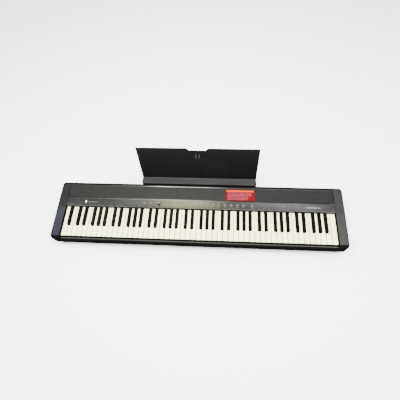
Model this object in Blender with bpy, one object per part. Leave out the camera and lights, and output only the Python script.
"""Portable 88-key digital piano with a lift-off music rest.

Axes: +X to the player's right, -Y towards the player, +Z up. The origin is on the
floor, under the middle of the whole object's box.
"""

import math

import bmesh
import bpy
from mathutils import Vector

MM = 0.001

# ---- driving dimensions, millimetres -------------------------------------------
# Depths (y) count from the white keys' front edge, heights (z) from the floor.
PITCH = 23.5            # one white key to the next
WHITE_COUNT = 52
WHITE_GAP = 1.0         # between neighbouring white keys
KEY_TOP = 88.0          # playing surface
KEY_BOTTOM = 70.0
KEY_TAIL = 200.5        # rear end of every key
BLACK_FRONT = 50.6      # foot of the black keys' front face
BLACK_REAR = 140.3      # where the raised part of a black key ends
BLACK_TOP = 100.0
BLACK_WIDTH = 13.0
BLACK_GAP = 0.8         # between a black key and the white keys beside it
BLACK_TOE_GAP = 1.4     # in front of it, where its face swings forward as it goes down
PIVOT_Y = 196.0
ROD_R = 3.0
GAP = 0.3               # between pieces that touch
PIVOT_Z = KEY_BOTTOM - ROD_R - GAP
TAIL_STEP = 186.0       # behind this a white key is low, so that the black keys' bar passes over it
TAIL_LOW = 77.4
WHITE_BAR = (195.6, KEY_TAIL)   # bar that joins the white keys moulded as one comb
BLACK_BAR = (188.0, 194.5)      # the same for black keys, above the white tails

CASE_HALF = 652.0       # half of the whole width
CHEEK_IN = 611.6        # inner face of each end cheek
INNER_HALF = 611.3      # half length of what lies between the cheeks
FRONT_Y = -16.3         # front face of the case
REAR_Y = 263.4          # rear edge of the case top
CASE_TOP = 104.5
CASE_BOTTOM = 6.3
WALL = 3.0
FRONT_CORNER = 12.0     # plan radius of the cheeks' front corners
REAR_CORNER = 14.0

RAIL_TOP = 83.0
PANEL_FRONT = 141.5
PANEL_REAR = 187.0
PANEL_TOP = 103.0
GRILLE_FRONT = 187.3
GRILLE_REAR = 247.6
GRILLE_TOP = 104.2

CONTROL_Y = 163.0
BUTTON_X = (-245.0, -215.0, -117.0, -88.5, -65.5, -4.0, 21.0, 46.0, 71.0, 96.0,
            125.0, 153.0, 180.0, 208.0, 247.0)
BUTTON_SIZE = (12.0, 6.0)
BUTTON_TOP = 104.2
KNOB_X = -177.0
KNOB_R = 6.5

REST_HALF = 266.5
REST_LEAN = math.radians(11.1)
REST_HEIGHT = 191.0     # along the leaning plate
REST_THICK = 3.0
NOTCH = (35.0, 48.5, 13.0)    # half width at its floor, at the plate's edge, and depth
SLOT_X = (-7.5, 7.0)
SLOT_DEPTH = 1.8        # the two short grooves below the notch don't go through the plate
FOLD = (297.0, 112.0)   # crease between ledge and plate
LEDGE_FRONT = (259.9, 117.2)
TONGUE_X = (140.0, 240.0)
TONGUE_Y = (264.6, 267.6)
TONGUE_FOOT = 60.3
SKIRT_FOOT = 97.0                # the skirt under the ledge's front edge runs the whole width
POCKET_TOP = 92.0

LABEL_X = (127.6, 258.7)
LABEL_Y = (187.6, 243.0)

FOOT_HEIGHT = 6.0
FOOT_R = 12.0

# The whole object reaches from the front rail to the rear edge of the leaning plate.
BACK_Y = FOLD[0] + REST_HEIGHT * math.sin(REST_LEAN) + REST_THICK * math.cos(REST_LEAN)
Y_MID = (FRONT_Y + BACK_Y) / 2.0


def at(x, y, z):
    """A point in millimetres, in world metres."""
    return Vector((x * MM, (y - Y_MID) * MM, z * MM))


# ---- materials ------------------------------------------------------------------
def material(name, rgb, rough, metal=0.0):
    m = bpy.data.materials.new(name)
    m.use_nodes = True
    b = m.node_tree.nodes["Principled BSDF"]
    b.inputs["Base Color"].default_value = (*rgb, 1.0)
    b.inputs["Roughness"].default_value = rough
    b.inputs["Metallic"].default_value = metal
    return m


LOOK = {
    "case": ((0.045, 0.046, 0.050), 0.45, 0.0),
    "panel": ((0.10, 0.10, 0.09), 0.35, 0.0),
    "grille": ((0.055, 0.057, 0.060), 0.5, 0.0),
    "rest": ((0.012, 0.013, 0.013), 0.4, 0.0),
    "white": ((0.86, 0.85, 0.78), 0.25, 0.0),
    "black": ((0.01, 0.01, 0.011), 0.4, 0.0),
    "felt": ((0.45, 0.02, 0.02), 0.95, 0.0),
    "button": ((0.16, 0.16, 0.145), 0.45, 0.0),
    "knob": ((0.45, 0.45, 0.42), 0.35, 0.0),
    "steel": ((0.55, 0.55, 0.56), 0.35, 1.0),
    "board": ((0.02, 0.13, 0.05), 0.5, 0.0),
    "chassis": ((0.03, 0.03, 0.032), 0.6, 0.0),
    "speaker": ((0.02, 0.02, 0.02), 0.7, 0.0),
    "socket": ((0.015, 0.015, 0.015), 0.35, 0.0),
    "label": ((0.75, 0.05, 0.05), 0.5, 0.0),
    "rubber": ((0.02, 0.02, 0.02), 0.85, 0.0),
}


# ---- mesh helpers -----------------------------------------------------------------
def add_prism(bm, outline, axis, lo, hi):
    """A closed outline, given in the two other axes in X, Y, Z order, pushed along axis."""
    def point(p, h):
        a, b = p
        xyz = {"x": (h, a, b), "y": (a, h, b), "z": (a, b, h)}[axis]
        return at(*xyz)

    low = [bm.verts.new(point(p, lo)) for p in outline]
    high = [bm.verts.new(point(p, hi)) for p in outline]
    n = len(outline)
    bm.faces.new(low)
    bm.faces.new(high)
    for i in range(n):
        j = (i + 1) % n
        bm.faces.new((low[i], low[j], high[j], high[i]))


def add_box(bm, x, y, z):
    add_prism(bm, ((x[0], y[0]), (x[1], y[0]), (x[1], y[1]), (x[0], y[1])), "z", *z)


def add_turned(bm, profile, cx, cy, steps, sx=1.0, sy=1.0):
    """A profile of (radius, height) from top to bottom, turned about a vertical axis."""
    rings = []
    for r, z in profile:
        if r == 0.0:
            rings.append([bm.verts.new(at(cx, cy, z))])
            continue
        rings.append([
            bm.verts.new(at(cx + r * sx * math.cos(2 * math.pi * k / steps),
                            cy + r * sy * math.sin(2 * math.pi * k / steps), z))
            for k in range(steps)
        ])
    for a, b in zip(rings, rings[1:]):
        for k in range(steps):
            j = (k + 1) % steps
            if len(a) == 1:
                bm.faces.new((a[0], b[k], b[j]))
            elif len(b) == 1:
                bm.faces.new((a[k], a[j], b[0]))
            else:
                bm.faces.new((a[k], a[j], b[j], b[k]))
    if len(rings[0]) > 1:
        bm.faces.new(rings[0])
    if len(rings[-1]) > 1:
        bm.faces.new(rings[-1])


def circle(cx, cy, r, steps):
    return [(cx + r * math.cos(2 * math.pi * (k + 0.5) / steps),
             cy + r * math.sin(2 * math.pi * (k + 0.5) / steps)) for k in range(steps)]


def arc(cx, cy, r, start, end, steps):
    """Points on an arc, angles in degrees."""
    out = []
    for k in range(steps + 1):
        t = math.radians(start + (end - start) * k / steps)
        out.append((cx + r * math.cos(t), cy + r * math.sin(t)))
    return out




def finish(name, bm, look, origin=None, smooth=False, cutter=False):
    bmesh.ops.recalc_face_normals(bm, faces=bm.faces)
    where = at(*origin) if origin else Vector((0.0, 0.0, 0.0))
    for v in bm.verts:
        v.co -= where
    mesh = bpy.data.meshes.new(name)
    bm.to_mesh(mesh)
    bm.free()
    obj = bpy.data.objects.new(name, mesh)
    obj.location = where
    bpy.context.scene.collection.objects.link(obj)
    if cutter:
        obj.hide_render = True
        obj.display_type = "WIRE"
        return obj
    rgb, rough, metal = LOOK[look]
    mesh.materials.append(material(name, rgb, rough, metal))
    if smooth:
        mesh.shade_smooth()
        mesh.set_sharp_from_angle(angle=math.radians(40))
    return obj


def boolean(obj, other, operation):
    m = obj.modifiers.new(operation.lower(), "BOOLEAN")
    m.operation = operation
    m.solver = "EXACT"
    m.object = other


def new():
    return bmesh.new()


# ---- keyboard ----------------------------------------------------------------------
NOTE_OF_WHITE = "ABCDEFG"
BLACK_AFTER = {"A": 3.6, "C": -2.6, "D": 2.6, "F": -3.6, "G": 0.0}   # shift from the gap


def white_note(i):
    """Letter and octave of white key i, counted from the lowest."""
    letter = NOTE_OF_WHITE[i % 7]
    octave = 0 if i < 2 else (i - 2) // 7 + 1
    return letter, octave


def boundary(i):
    """X of the left side of white key i's slot."""
    return (i - WHITE_COUNT / 2.0) * PITCH


def black_after(i):
    """X of the middle of the black key above the gap after white key i, or None."""
    if i < 0 or i >= WHITE_COUNT - 1:
        return None
    letter = white_note(i)[0]
    if letter not in BLACK_AFTER:
        return None
    return boundary(i + 1) + BLACK_AFTER[letter]


def add_white(bm, i):
    left = boundary(i) + WHITE_GAP / 2.0
    right = boundary(i + 1) - WHITE_GAP / 2.0
    side = BLACK_WIDTH / 2.0 + BLACK_GAP
    b_left, b_right = black_after(i - 1), black_after(i)
    tail_left = left if b_left is None else b_left + side
    tail_right = right if b_right is None else b_right - side
    step = BLACK_FRONT - BLACK_TOE_GAP
    outline = [(left, 0.0), (right, 0.0)]
    if b_right is not None:
        outline += [(right, step), (tail_right, step)]
    outline += [(tail_right, KEY_TAIL), (tail_left, KEY_TAIL)]
    if b_left is not None:
        outline += [(tail_left, step), (left, step)]
    add_prism(bm, outline, "z", KEY_BOTTOM, KEY_TOP)


BLACK_SIDE = (
    (BLACK_FRONT, KEY_BOTTOM), (BLACK_FRONT, KEY_TOP + 0.6), (BLACK_FRONT + 4.2, BLACK_TOP - 1.6),
    (BLACK_FRONT + 6.8, BLACK_TOP), (BLACK_REAR - 1.5, BLACK_TOP), (BLACK_REAR, BLACK_TOP - 1.2),
    (BLACK_REAR, KEY_TOP - 2.0), (BLACK_BAR[1], KEY_TOP - 4.0), (BLACK_BAR[1], KEY_BOTTOM),
)
BLACK_BAR_Z = (TAIL_LOW + 0.8, KEY_TOP - 4.5)


def add_black(bm, i):
    x = black_after(i)
    add_prism(bm, BLACK_SIDE, "x", x - BLACK_WIDTH / 2.0, x + BLACK_WIDTH / 2.0)


def group_of(octave):
    """Keys outside the middle octave are combs, moulded as one piece with a bar across their tails."""
    if octave <= 2:
        return "bass"
    return {3: "tenor", 5: "treble"}.get(octave, "high")


def whites(name, keys):
    """One white key, or a comb of them."""
    pivot = (0.0, PIVOT_Y, PIVOT_Z)
    bm = new()
    for i in keys:
        add_white(bm, i)
    obj = finish(name, bm, "white", origin=pivot)
    left, right = boundary(keys[0]), boundary(keys[-1] + 1)
    bm = new()
    add_box(bm, (left - 5.0, right + 5.0), (TAIL_STEP, KEY_TAIL + 5.0), (TAIL_LOW, KEY_TOP + 5.0))
    boolean(obj, finish(name + "_step", bm, None, cutter=True), "DIFFERENCE")
    if len(keys) > 1:
        inset = PITCH / 2.0
        bm = new()
        add_box(bm, (left + inset, right - inset), WHITE_BAR, (KEY_BOTTOM, TAIL_LOW))
        boolean(obj, finish(name + "_bar", bm, None, cutter=True), "UNION")


def blacks(name, keys):
    """One black key, or a comb of them; each is named by the white key on its left."""
    pivot = (0.0, PIVOT_Y, PIVOT_Z)
    bm = new()
    for i in keys:
        add_black(bm, i)
    obj = finish(name, bm, "black", origin=pivot)
    if len(keys) > 1:
        bm = new()
        add_box(bm, (black_after(keys[0]), black_after(keys[-1])), BLACK_BAR, BLACK_BAR_Z)
        boolean(obj, finish(name + "_bar", bm, None, cutter=True), "UNION")


def build_keys():
    groups = {}
    for i in range(WHITE_COUNT):
        letter, octave = white_note(i)
        sharp = black_after(i) is not None
        if octave == 4:
            whites(f"key_{letter.lower()}4", [i])
            if sharp:
                blacks(f"key_{letter.lower()}_sharp4", [i])
            continue
        name = group_of(octave)
        groups.setdefault("white_keys_" + name, []).append(i)
        if sharp:
            groups.setdefault("black_keys_" + name, []).append(i)
    for name, keys in groups.items():
        (whites if name.startswith("white") else blacks)(name, keys)


# ---- case ----------------------------------------------------------------------------
# Side outline of the end cheeks, front face first, going round.
CHEEK_SIDE = (
    (-4.0, CASE_TOP), (-9.5, CASE_TOP - 1.3), (-13.6, CASE_TOP - 4.6), (-15.8, CASE_TOP - 9.5),
    (FRONT_Y, CASE_TOP - 15.0),
    (FRONT_Y, 43.0), (-15.0, 40.2), (9.0, CASE_BOTTOM), (256.0, CASE_BOTTOM), (260.5, 8.2),
    (REAR_Y, 12.5), (REAR_Y, CASE_TOP - 4.8), (261.8, CASE_TOP - 1.4), (258.4, CASE_TOP),
)
CAVITY_SIDE = (
    (-3.6, CASE_TOP - 3.4), (-10.6, 97.6), (-13.0, 88.5), (-13.0, 44.0), (10.8, CASE_BOTTOM + 3.2),
    (255.0, CASE_BOTTOM + 3.2), (258.8, 14.0), (258.8, 98.0), (255.0, CASE_TOP - 3.4),
)


def cheek(name, side):
    """A hollow end shell, open towards the middle of the piano."""
    def plan(inner, outer, front, rear, rf, rr):
        pts = [(inner, front)]
        pts += arc(outer - rf, front + rf, rf, -90, 0, 6)
        pts += arc(outer - rr, rear - rr, rr, 0, 90, 4)
        pts += [(inner, rear)]
        return [(side * x, y) for x, y in pts]

    x_in, x_out = sorted((side * (CHEEK_IN - 20.0), side * (CASE_HALF + 20.0)))
    bm = new()
    add_prism(bm, plan(CHEEK_IN, CASE_HALF, FRONT_Y, REAR_Y, FRONT_CORNER, REAR_CORNER), "z",
              0.0, CASE_TOP + 10.0)
    shell = finish(name, bm, "case")
    bm = new()
    add_prism(bm, CHEEK_SIDE, "x", x_in, x_out)
    boolean(shell, finish(name + "_side", bm, None, cutter=True), "INTERSECT")
    bm = new()
    add_prism(bm, plan(CHEEK_IN - 10.0, CASE_HALF - WALL, FRONT_Y + WALL, REAR_Y - WALL,
                       FRONT_CORNER - 2.0, REAR_CORNER - 2.0), "z", 0.0, CASE_TOP + 10.0)
    hollow = finish(name + "_hollow", bm, None, cutter=True)
    bm = new()
    add_prism(bm, CAVITY_SIDE, "x", x_in, x_out)
    boolean(hollow, finish(name + "_hollow_side", bm, None, cutter=True), "INTERSECT")
    boolean(shell, hollow, "DIFFERENCE")


def build_case():
    span = (-INNER_HALF, INNER_HALF)
    cheek("left_cheek", -1.0)
    cheek("right_cheek", 1.0)

    bm = new()
    add_box(bm, span, (20.3, 258.4), (CASE_BOTTOM, CASE_BOTTOM + WALL))
    finish("base_plate", bm, "case")

    # Front rail: one bent wall, from the strip in front of the keys to the slope underneath.
    bm = new()
    add_prism(bm, (
        (-3.4, RAIL_TOP), (-10.0, RAIL_TOP), (-13.6, RAIL_TOP - 1.6), (-15.7, RAIL_TOP - 4.4),
        (FRONT_Y, RAIL_TOP - 8.0), (FRONT_Y, 43.0), (-15.0, 40.2), (9.0, CASE_BOTTOM), (20.0, CASE_BOTTOM),
        (20.0, CASE_BOTTOM + WALL), (10.6, CASE_BOTTOM + WALL), (-12.4, 41.8), (-13.3, 43.8),
        (-13.3, RAIL_TOP - 8.4), (-12.4, RAIL_TOP - 5.2), (-10.2, RAIL_TOP - WALL), (-3.4, RAIL_TOP - WALL),
    ), "x", *span)
    finish("front_rail", bm, "case")

    # Control panel with its front lip and the holes for the buttons and the knob's shaft.
    bm = new()
    add_prism(bm, (
        (PANEL_FRONT, 93.0), (PANEL_FRONT, PANEL_TOP - 1.0), (PANEL_FRONT + 1.0, PANEL_TOP),
        (PANEL_REAR, PANEL_TOP), (PANEL_REAR, PANEL_TOP - WALL),
        (PANEL_FRONT + WALL, PANEL_TOP - WALL), (PANEL_FRONT + WALL, 93.0),
    ), "x", *span)
    panel = finish("control_panel", bm, "panel")
    bm = new()
    hx, hy = BUTTON_SIZE[0] / 2.0 + 0.4, BUTTON_SIZE[1] / 2.0 + 0.4
    for x in BUTTON_X:
        add_box(bm, (x - hx, x + hx), (CONTROL_Y - hy, CONTROL_Y + hy), (95.0, 110.0))
    add_prism(bm, circle(KNOB_X, CONTROL_Y, 3.6, 16), "z", 95.0, 110.0)
    boolean(panel, finish("panel_holes", bm, None, cutter=True), "DIFFERENCE")

    bm = new()
    add_box(bm, span, (GRILLE_FRONT, GRILLE_REAR), (100.5, GRILLE_TOP))
    finish("speaker_grille", bm, "grille")

    bm = new()
    add_prism(bm, (
        (247.9, 100.5), (247.9, CASE_TOP), (257.4, CASE_TOP), (261.6, CASE_TOP - 1.4),
        (REAR_Y, CASE_TOP - 4.0),
    ), "x", *span)
    finish("rear_top_rim", bm, "case")

    # Rear panel with the two pockets that the music rest's tongues drop into.
    plate = (258.7, 261.4)
    bm = new()
    add_box(bm, (-INNER_HALF, 429.7), plate, (9.6, 100.2))
    rear = finish("rear_panel", bm, "case")
    bm = new()
    for s in (-1.0, 1.0):
        a, b = sorted((s * (TONGUE_X[0] - 5.0), s * (TONGUE_X[1] + 5.0)))
        add_box(bm, (a, b), (260.0, TONGUE_Y[1] + 3.4), (56.0, POCKET_TOP))
    boolean(rear, finish("pocket_blocks", bm, None, cutter=True), "UNION")
    bm = new()
    for s in (-1.0, 1.0):
        a, b = sorted((s * (TONGUE_X[0] - 0.5), s * (TONGUE_X[1] + 0.5)))
        add_box(bm, (a, b), (TONGUE_Y[0] - 0.4, TONGUE_Y[1] + 0.4), (TONGUE_FOOT - GAP, 120.0))
    boolean(rear, finish("pocket_slots", bm, None, cutter=True), "DIFFERENCE")

    # Jack panel at the rear right, and the sockets behind its holes.
    jack = finish_jack_panel(plate)
    return jack


JACK_Z = 34.0
ROUND_SOCKETS = ((470.0, 4.2, 6.0), (540.0, 3.3, 5.4), (570.0, 3.3, 5.4))   # x, socket r, panel hole r
USB_X = 505.0


def finish_jack_panel(plate):
    bm = new()
    add_box(bm, (430.0, INNER_HALF), plate, (9.6, 100.2))
    panel = finish("jack_panel", bm, "case")
    bm = new()
    for x, _, r in ROUND_SOCKETS:
        add_prism(bm, circle(x, JACK_Z, r, 16), "y", 250.0, 270.0)
    add_box(bm, (USB_X - 6.5, USB_X + 6.5), (250.0, 270.0), (JACK_Z - 6.0, JACK_Z + 6.0))
    boolean(panel, finish("jack_holes", bm, None, cutter=True), "DIFFERENCE")

    bm = new()
    add_box(bm, (ROUND_SOCKETS[0][0] - 9.0, ROUND_SOCKETS[-1][0] + 9.0), (240.0, 258.4),
            (JACK_Z - 8.0, JACK_Z + 8.0))
    sockets = finish("jack_sockets", bm, "socket")
    bm = new()
    for x, r, _ in ROUND_SOCKETS:
        add_prism(bm, circle(x, JACK_Z, r, 16), "y", 244.0, 262.0)
    add_box(bm, (USB_X - 4.2, USB_X + 4.2), (244.0, 262.0), (JACK_Z - 3.9, JACK_Z + 3.9))
    boolean(sockets, finish("socket_bores", bm, None, cutter=True), "DIFFERENCE")
    return panel


# ---- inside ---------------------------------------------------------------------------
def build_inside():
    # Key chassis: feet on the base plate, a guide rail in front, the contact board's rib,
    # and the upstand that carries the pivot rod.
    bm = new()
    add_prism(bm, (
        (2.0, 36.0), (22.0, 36.0), (22.0, 9.6), (26.0, 9.6), (26.0, 36.0), (178.0, 36.0),
        (178.0, 9.6), (182.0, 9.6), (182.0, 36.0), (200.0, 36.0), (200.0, PIVOT_Z - ROD_R - GAP),
        (192.0, PIVOT_Z - ROD_R - GAP), (192.0, 39.0), (112.0, 39.0), (112.0, 44.7), (104.0, 44.7),
        (104.0, 39.0), (17.0, 39.0), (17.0, 59.0), (12.0, 59.0), (12.0, 39.0), (2.0, 39.0),
    ), "x", -600.0, 600.0)
    finish("key_chassis", bm, "chassis")

    bm = new()
    add_prism(bm, circle(PIVOT_Y, PIVOT_Z, ROD_R, 16), "x", -INNER_HALF + 0.5, INNER_HALF - 0.5)
    finish("key_pivot_rod", bm, "steel", smooth=True)

    # Contact board under the keys, with the rubber contact strip along it.
    bm = new()
    add_prism(bm, ((92.0, 45.0), (124.0, 45.0), (124.0, 46.6), (115.0, 46.6), (112.0, 55.0),
                   (104.0, 55.0), (101.0, 46.6), (92.0, 46.6)), "x", -598.0, 598.0)
    finish("contact_board", bm, "board")

    # Oval speakers: dished front, basket, magnet. Their rims hang under the grille.
    profile = ((0.0, 88.5), (0.22, 86.5), (0.30, 84.5), (0.80, 98.6), (0.90, 99.8), (1.0, 99.8),
               (1.0, 97.2), (0.88, 97.2), (0.60, 76.0), (0.50, 76.0), (0.50, 64.0))
    for name, x in (("left_speaker", -440.0), ("right_speaker", 440.0)):
        bm = new()
        add_turned(bm, profile, x, 227.5, 28, 62.0, 25.0)
        finish(name, bm, "speaker", smooth=True)

    # Main board on four spacers at the rear right, with its larger components.
    bm = new()
    add_box(bm, (200.0, 590.0), (206.0, 252.0), (20.0, 21.6))
    board = finish("main_board", bm, "board")
    bm = new()
    for x in (210.0, 580.0):
        for y in (211.0, 247.0):
            add_prism(bm, circle(x, y, 3.0, 10), "z", 9.6, 20.8)
    for x, y, w, d, h in ((260, 229, 28, 28, 3), (320, 222, 14, 20, 3), (350, 232, 24, 14, 4),
                          (400, 228, 18, 26, 9), (436, 220, 10, 10, 14), (450, 236, 10, 10, 14)):
        add_box(bm, (x - w / 2, x + w / 2), (y - d / 2, y + d / 2), (20.8, 21.6 + h))
    boolean(board, finish("board_parts", bm, None, cutter=True), "UNION")

    bm = new()
    add_box(bm, (-262.0, 262.0), (147.0, 184.0), (94.0, 95.6))
    finish("panel_board", bm, "board")

    bm = new()
    add_box(bm, (-INNER_HALF, INNER_HALF), (141.0, 144.4), (KEY_TOP + 0.8, 92.7))
    finish("felt_strip", bm, "felt")

    for name, x, y in (("foot_front_left", -560.0, 44.0), ("foot_front_right", 560.0, 44.0),
                       ("foot_rear_left", -560.0, 236.0), ("foot_rear_right", 560.0, 236.0)):
        bm = new()
        add_turned(bm, ((FOOT_R, FOOT_HEIGHT), (FOOT_R, 1.0), (FOOT_R - 1.0, 0.0)), x, y, 20)
        finish(name, bm, "rubber", smooth=True)

    # Paper notice lying on the grille.
    bm = new()
    add_box(bm, LABEL_X, LABEL_Y, (GRILLE_TOP + 0.15, GRILLE_TOP + 0.5))
    finish("notice_label", bm, "label")


# ---- controls ---------------------------------------------------------------------------
def build_controls():
    w, d = BUTTON_SIZE[0] / 2.0, BUTTON_SIZE[1] / 2.0
    for n, x in enumerate(BUTTON_X, 1):
        # A cap that passes the panel, on a flange under it that stops it falling out.
        bm = new()
        side = ((w + 1.2, 97.6), (w + 1.2, 99.4), (w, 99.4), (w, BUTTON_TOP - 0.8),
                (w - 0.8, BUTTON_TOP))
        rings = []
        for half, z in side:
            off = half - w
            rings.append([bm.verts.new(at(x + sx * half, CONTROL_Y + sy * (d + off), z))
                          for sx, sy in ((-1, -1), (1, -1), (1, 1), (-1, 1))])
        for a, b in zip(rings, rings[1:]):
            for k in range(4):
                j = (k + 1) % 4
                bm.faces.new((a[k], a[j], b[j], b[k]))
        bm.faces.new(rings[0])
        bm.faces.new(rings[-1])
        finish(f"button_{n:02d}", bm, "button", origin=(x, CONTROL_Y, 99.0))
    bm = new()
    add_turned(bm, ((KNOB_R - 1.2, 112.0), (KNOB_R - 0.3, 111.4), (KNOB_R, 110.2),
                    (KNOB_R, 103.6), (3.0, 103.6), (3.0, 97.0)), KNOB_X, CONTROL_Y, 24)
    finish("volume_knob", bm, "knob", origin=(KNOB_X, CONTROL_Y, 103.0), smooth=True)


# ---- music rest --------------------------------------------------------------------------
def cross(p, u, q, v):
    """Where the line through p along u meets the line through q along v."""
    den = u[0] * v[1] - u[1] * v[0]
    t = ((q[0] - p[0]) * v[1] - (q[1] - p[1]) * v[0]) / den
    return (p[0] + u[0] * t, p[1] + u[1] * t)


def build_rest():
    up = (math.sin(REST_LEAN), math.cos(REST_LEAN))
    back = (math.cos(REST_LEAN), -math.sin(REST_LEAN))
    run = (FOLD[0] - LEDGE_FRONT[0], FOLD[1] - LEDGE_FRONT[1])
    length = math.hypot(*run)
    along = (run[0] / length, run[1] / length)
    down = (along[1], -along[0])
    top = (FOLD[0] + up[0] * REST_HEIGHT, FOLD[1] + up[1] * REST_HEIGHT)
    t = REST_THICK
    rear_of_fold = (FOLD[0] + back[0] * t, FOLD[1] + back[1] * t)
    under = (FOLD[0] + down[0] * t, FOLD[1] + down[1] * t)
    corner = cross(rear_of_fold, up, under, along)
    toe = cross(under, along, (LEDGE_FRONT[0], 0.0), (0.0, 1.0))
    outline = (LEDGE_FRONT, FOLD, top, (top[0] + back[0] * t, top[1] + back[1] * t), corner, toe)
    bm = new()
    add_prism(bm, outline, "x", -REST_HALF, REST_HALF)
    rest = finish("music_rest", bm, "rest")
    bm = new()
    add_box(bm, (-REST_HALF, REST_HALF), TONGUE_Y, (SKIRT_FOOT, 114.8))
    boolean(rest, finish("rest_skirt", bm, None, cutter=True), "UNION")
    bm = new()
    for s in (-1.0, 1.0):
        a, b = sorted((s * TONGUE_X[0], s * TONGUE_X[1]))
        add_box(bm, (a, b), TONGUE_Y, (TONGUE_FOOT, SKIRT_FOOT + 0.5))
    boolean(rest, finish("rest_tongues", bm, None, cutter=True), "UNION")
    # The finger notch in the top edge and two short grooves below it.
    bm = new()
    floor = top[1] - NOTCH[2] * math.cos(REST_LEAN)
    add_prism(bm, ((-NOTCH[0], floor), (NOTCH[0], floor), (NOTCH[1] + 8.5, top[1] + 8.0),
                   (-NOTCH[1] - 8.5, top[1] + 8.0)), "y", 300.0, 345.0)
    for x in SLOT_X:
        face = [(FOLD[0] + up[0] * h, FOLD[1] + up[1] * h) for h in (132.0, 160.0)]
        groove = [(y + back[0] * d, z + back[1] * d) for d in (-2.0, SLOT_DEPTH) for y, z in face]
        add_prism(bm, (groove[0], groove[1], groove[3], groove[2]), "x", x - 2.0, x + 2.0)
    boolean(rest, finish("rest_cuts", bm, None, cutter=True), "DIFFERENCE")


def main():
    for obj in list(bpy.data.objects):
        bpy.data.objects.remove(obj, do_unlink=True)
    build_keys()
    build_case()
    build_inside()
    build_controls()
    build_rest()


main()
